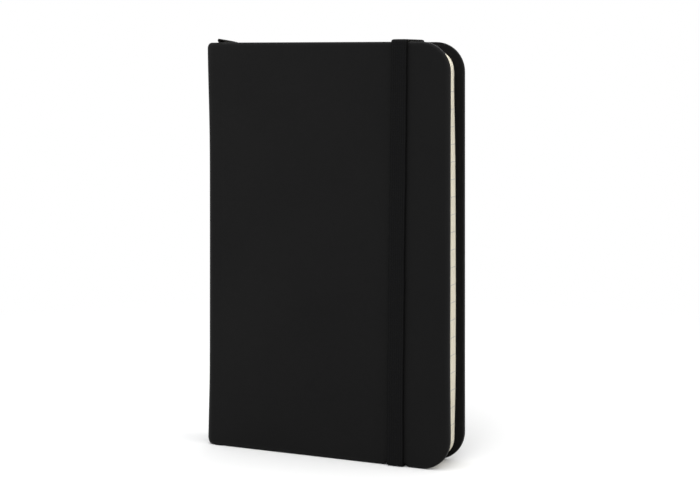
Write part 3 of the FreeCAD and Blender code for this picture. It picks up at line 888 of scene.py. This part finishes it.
def ribbon_strip():
    """Glued to the spine, over the head with a quarter twist, then down between two sections.
    Each row is the strip's near edge, the way across it, and its width there."""
    lo, hi = nbox("ribbon_root")
    pj = np.array(joint("ribbon_swing")["pos_m"]) / MM
    xg = lo[0] + 0.08
    rows = [
        (xg, -2.25, 112.0, 0, 1, 0, 4.5), (xg, -2.25, 124.0, 0, 1, 0, 4.5), (xg, -2.25, 134.0, 0, 1, 0, 4.5),
        (xg, -2.25, 139.2, 0, 1, 0, 4.5), (xg - 0.22, -2.45, 140.2, 0, 1, 0, 4.8),
        (xg - 0.42, -2.65, 140.85, 0, 1, -0.02, 5.0), (xg - 0.28, -2.62, 141.24, 0, 0.99, -0.12, 4.9),
        (xg + 0.25, -2.30, 141.30, 0, 0.93, -0.36, 4.5),
        (xg + 1.3, -1.55, 141.12, -0.05, 0.70, -0.71, 3.9), (xg + 2.3, -0.92, 140.95, -0.12, 0.33, -0.93, 3.55),
        (xg + 3.5, -0.40, 140.72, -0.25, 0.11, -0.96, 3.6), (xg + 4.8, -0.08, 140.46, -0.42, 0.02, -0.907, 4.0),
        (xg + 6.3, 0, 140.06, -0.62, 0, -0.785, 4.35), (xg + 7.7, 0, 139.25, -0.78, 0, -0.62, 4.5),
        (xg + 8.8, 0, 137.9, -0.88, 0, -0.47, 4.5), (xg + 9.5, 0, 136.3, -0.945, 0, -0.33, 4.5),
    ]
    lean = math.radians(12)
    way = np.array([-math.cos(lean), 0, -math.sin(lean)])
    for k, (dx, dz) in enumerate([(0, 0), (1.6, -6), (3.4, -14), (7, -30), (12, -52), (16, -75), (21, -99), (26, -122.5)]):
        near = np.array([pj[0] + dx, 0, pj[2] + dz]) - way * 2.25
        rows.append((*near, *way, 4.5))
    P = np.array(rows, float)
    P[:, 3:6] /= np.linalg.norm(P[:, 3:6], axis=1)[:, None]
    centre = P[:, :3] + P[:, 3:6] * P[:, 6:7] / 2
    s = np.concatenate([[0], np.cumsum(np.linalg.norm(np.diff(centre, axis=0), axis=1))])
    t = np.gradient(P, s, axis=0)
    last = len(rows) - 8
    fine = np.unique(np.concatenate([np.linspace(0, s[3], 12), np.arange(s[3], s[last], 0.22), np.arange(s[last], s[-1], 1.3), [s[-1]]]))
    half, t2, cols_n = 2.25, 0.075, 13
    a = np.linspace(-1, 1, cols_n)
    sec = [(q, t2 * (1 - 0.3 * (abs(q) > 0.93))) for q in a] + [(q, -t2 * (1 - 0.3 * (abs(q) > 0.93))) for q in a[::-1]]
    near, across, width = [], [], []
    for q in fine:
        i = min(int(np.searchsorted(s, q, side="right")) - 1, len(s) - 2)
        h = s[i + 1] - s[i]
        g = (q - s[i]) / h
        r = ((2 * g**3 - 3 * g**2 + 1) * P[i] + (g**3 - 2 * g**2 + g) * h * t[i]
             + (-2 * g**3 + 3 * g**2) * P[i + 1] + (g**3 - g**2) * h * t[i + 1])
        near.append(r[:3]), across.append(r[3:6] / np.linalg.norm(r[3:6])), width.append(r[6])
    near, across, width = np.array(near), np.array(across), np.array(width)
    mid = near + across * width[:, None] / 2
    tan = np.gradient(mid, fine, axis=0)
    tan /= np.linalg.norm(tan, axis=1)[:, None]
    m, n = len(sec), len(fine)
    V, UV, F = [], [], []
    for i in range(n):
        nn = np.cross(tan[i], across[i])
        nn /= np.linalg.norm(nn)
        for q, h in sec:
            back = max(0.0, fine[i] - (s[-1] - 6.0)) / 6.0       # slanted cut at the free end
            V.append(mid[i] + across[i] * width[i] / 2 * q + nn * h - tan[i] * back * (q + 1) * 1.7)
            UV.append((q * half, fine[i], h))
    for i in range(n - 1):
        for k in range(m):
            k2 = (k + 1) % m
            F.append((i * m + k, i * m + k2, (i + 1) * m + k2, (i + 1) * m + k))
    F.append(tuple(range(m - 1, -1, -1)))
    F.append(tuple((n - 1) * m + k for k in range(m)))
    return np.array(V), F, np.array(UV), pj


v, f, uv, pj = ribbon_strip()
o = make("ribbon_marker_strip", v, f, SATIN, {"strap_uv": uv})
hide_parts("ribbon_root", "ribbon_marker")
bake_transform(o)


# ---- stage, light and camera ---------------------------------------------------------
scene = bpy.context.scene
scene.view_settings.view_transform = "Standard"
scene.view_settings.look = "None"
scene.view_settings.exposure = 0.0
scene.view_settings.gamma = 1.0

world = bpy.data.worlds.new("studio")
scene.world = world
world.use_nodes = True
wt = world.node_tree
wt.nodes.clear()
wo = wt.nodes.new("ShaderNodeOutputWorld")
lp = wt.nodes.new("ShaderNodeLightPath")
bg_cam = wt.nodes.new("ShaderNodeBackground")
bg_cam.inputs[0].default_value = (1, 1, 1, 1)
bg_cam.inputs[1].default_value = 1.0
bg_env = wt.nodes.new("ShaderNodeBackground")
bg_env.inputs[0].default_value = (0.97, 0.985, 1.0, 1)
bg_env.inputs[1].default_value = 0.42
mixw = wt.nodes.new("ShaderNodeMixShader")
wt.links.new(lp.outputs["Is Camera Ray"], mixw.inputs[0])
wt.links.new(bg_env.outputs[0], mixw.inputs[1])
wt.links.new(bg_cam.outputs[0], mixw.inputs[2])
wt.links.new(mixw.outputs[0], wo.inputs[0])

bpy.ops.mesh.primitive_plane_add(size=8.0, location=(0, 0, -0.00002))
floor = bpy.context.active_object
floor.name = "studio_floor"
fm = Mat("pale_floor")
# matt white near the book, fading to an even white backdrop away from it
pos = fm.xyz(fm.n("NewGeometry").outputs["Position"])
far = fm.math("SQRT", fm.math("ADD", fm.math("POWER", pos[0], 2.0), fm.math("POWER", pos[1], 2.0)))
fade = fm.n("MapRange", props={"interpolation_type": "SMOOTHSTEP"})
fm.put(fade, "Value", far)
fade.inputs["From Min"].default_value = 0.10
fade.inputs["From Max"].default_value = 0.34
path = fm.n("LightPath")
fac = fm.math("MULTIPLY", fade.outputs[0], path.outputs["Is Camera Ray"])
matt = fm.n("BsdfDiffuse", Color=(0.67, 0.67, 0.67, 1), Roughness=0.2)
lit = fm.n("Emission", Color=(1, 1, 1, 1), Strength=1.0)
both = fm.n("MixShader", i0=fac, i1=matt, i2=lit)
fm.t.links.new(both.outputs[0], fm.out.inputs[0])
floor.data.materials.append(fm.m)


def area(name, loc, target, size, power, colour=(1, 1, 1), size_y=None):
    d = bpy.data.lights.new(name, "AREA")
    d.shape = "RECTANGLE"
    d.size = size
    d.size_y = size_y or size
    d.energy = power
    d.color = colour
    o = bpy.data.objects.new(name, d)
    scene.collection.objects.link(o)
    o.location = loc
    o.rotation_mode = "QUATERNION"
    o.rotation_quaternion = (Vector(target) - Vector(loc)).to_track_quat("-Z", "Y")
    return o


area("top_softbox", (0.05, -0.15, 1.3), (0, 0, 0), 1.6, 20.0)
area("front_softbox", (0.25, -1.25, 0.85), (0, 0, 0.03), 1.0, 11.5)
area("left_softbox", (-1.0, -0.75, 0.55), (0, 0, 0.07), 0.8, 5.0)
area("right_softbox", (1.1, 0.1, 0.6), (0.03, 0, 0.07), 0.8, 7.0, (1.0, 0.98, 0.95))
area("back_softbox", (-0.3, 1.2, 0.7), (0, 0, 0.07), 0.9, 5.0)

cam_data = bpy.data.cameras.new("camera")
cam = bpy.data.objects.new("camera", cam_data)
scene.collection.objects.link(cam)
scene.camera = cam
AZ = 24.135
SHIFT_Y = -0.2729
cam.location = (0.2206, -0.4786, 0.1343)
cam.rotation_euler = (math.radians(90), 0, math.radians(AZ))
cam_data.sensor_width = 36.0
cam_data.lens = 1543.0 * 36.0 / 700.0
cam_data.clip_start = 0.01
cam_data.clip_end = 50.0
# A level camera with the lens shifted down, for this one viewpoint only. The shift follows the
# camera's rotation mode (1 for the Euler angles set here, 0 once it is aimed by quaternion), so
# it is nothing when the camera is taken round to another side.
fc = cam_data.driver_add("shift_y")
fc.driver.type = "AVERAGE"
var = fc.driver.variables.new()
var.type = "SINGLE_PROP"
var.targets[0].id = cam
var.targets[0].data_path = "rotation_mode"
gen = fc.modifiers[0] if len(fc.modifiers) else fc.modifiers.new("GENERATOR")
gen.poly_order = 1
gen.coefficients[0] = 0.0
gen.coefficients[1] = SHIFT_Y

bpy.context.view_layer.update()
